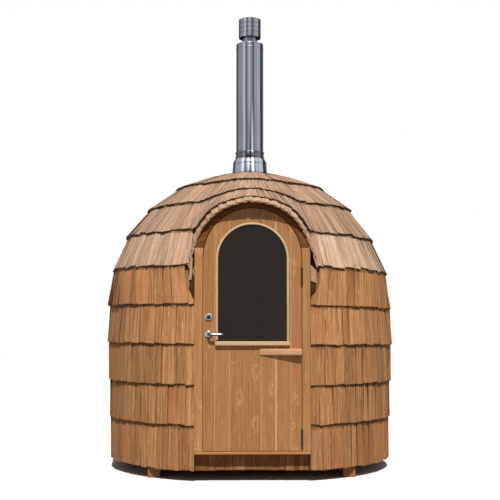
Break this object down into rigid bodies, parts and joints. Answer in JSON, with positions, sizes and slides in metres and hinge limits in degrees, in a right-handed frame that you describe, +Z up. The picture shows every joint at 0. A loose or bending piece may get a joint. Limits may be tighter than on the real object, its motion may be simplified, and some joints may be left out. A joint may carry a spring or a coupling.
{
  "type": "igloo sauna",
  "caption": "Round timber igloo sauna cabin with a shingled domed shell, an arched glazed door under an eyebrow hood, skids and a stainless flue.",
  "frame": {"origin": "on the ground, under the middle of the whole house's box", "axes": "+Z up along the height, door facing -Y, hinges on the +X side"},
  "size_m": [2.248, 2.2543, 3.55],
  "materials": {
    "wall_timber": "planed softwood",
    "shingle": "sawn shingle",
    "roof_shingle": "sun-bleached shingle",
    "dark_timber": "dark sawn timber",
    "joist_timber": "sawn softwood",
    "floor_board": "planed boards",
    "skirt_board": "sawn boards",
    "frame_wood": "oiled softwood",
    "door_wood": "oiled boards",
    "window_glass": "dark tinted",
    "black_iron": "black satin",
    "polished_steel": "polished",
    "stainless": "bright stainless"
  },
  "bodies": {
    "house": {"wall_1": "wall_timber", "wall_2": "wall_timber", "wall_3": "wall_timber", "wall_4": "wall_timber", "wall_5": "wall_timber", "wall_6": "wall_timber", "wall_7": "wall_timber", "roof_front": "wall_timber", "roof_right": "wall_timber", "roof_back": "wall_timber", "roof_left": "wall_timber", "crown_ring": "wall_timber", "course_1": "shingle", "course_2": "shingle", "course_3": "shingle", "course_4": "shingle", "course_5": "shingle", "course_6": "roof_shingle", "course_7": "roof_shingle", "course_8": "roof_shingle", "course_9": "roof_shingle", "hood_shingles": "roof_shingle", "hood_deck": "dark_timber", "skids": "dark_timber", "floor_joists": "joist_timber", "front_sill": "joist_timber", "floor_deck": "floor_board", "skirt": "skirt_board", "threshold": "frame_wood", "jamb_left": "frame_wood", "jamb_right": "frame_wood", "arch_head": "frame_wood", "door_stop": "frame_wood", "frame_hinges": "black_iron", "flue_casing": "stainless", "flue_liner": "stainless", "rain_cap": "stainless", "clamp_band": "stainless", "storm_collar": "stainless", "roof_flashing": "stainless"},
    "door": {"door_leaf": "door_wood", "door_glass": "window_glass", "glazing_bead": "door_wood", "window_trim": "door_wood", "window_ledge": "door_wood", "door_batten": "door_wood", "door_hinges": "black_iron", "lock_cylinder": "polished_steel", "handle_roses": "polished_steel"},
    "lever": {"handle_lever": "polished_steel"}
  },
  "joints": [
    {"name": "door_hinge", "type": "hinge", "parent": "house", "child": "door", "pos_m": [0.3435, -1.04008, 0.3], "axis": [0, 0, 1], "range_deg": [0, 95]},
    {"name": "lever_turn", "type": "hinge", "parent": "door", "child": "lever", "pos_m": [-0.303, -1.03208, 1.022], "axis": [0, 1, 0], "range_deg": [0, 40], "stiffness_Nm_per_rad": 1.5, "springref_deg": -28.65}
  ]
}
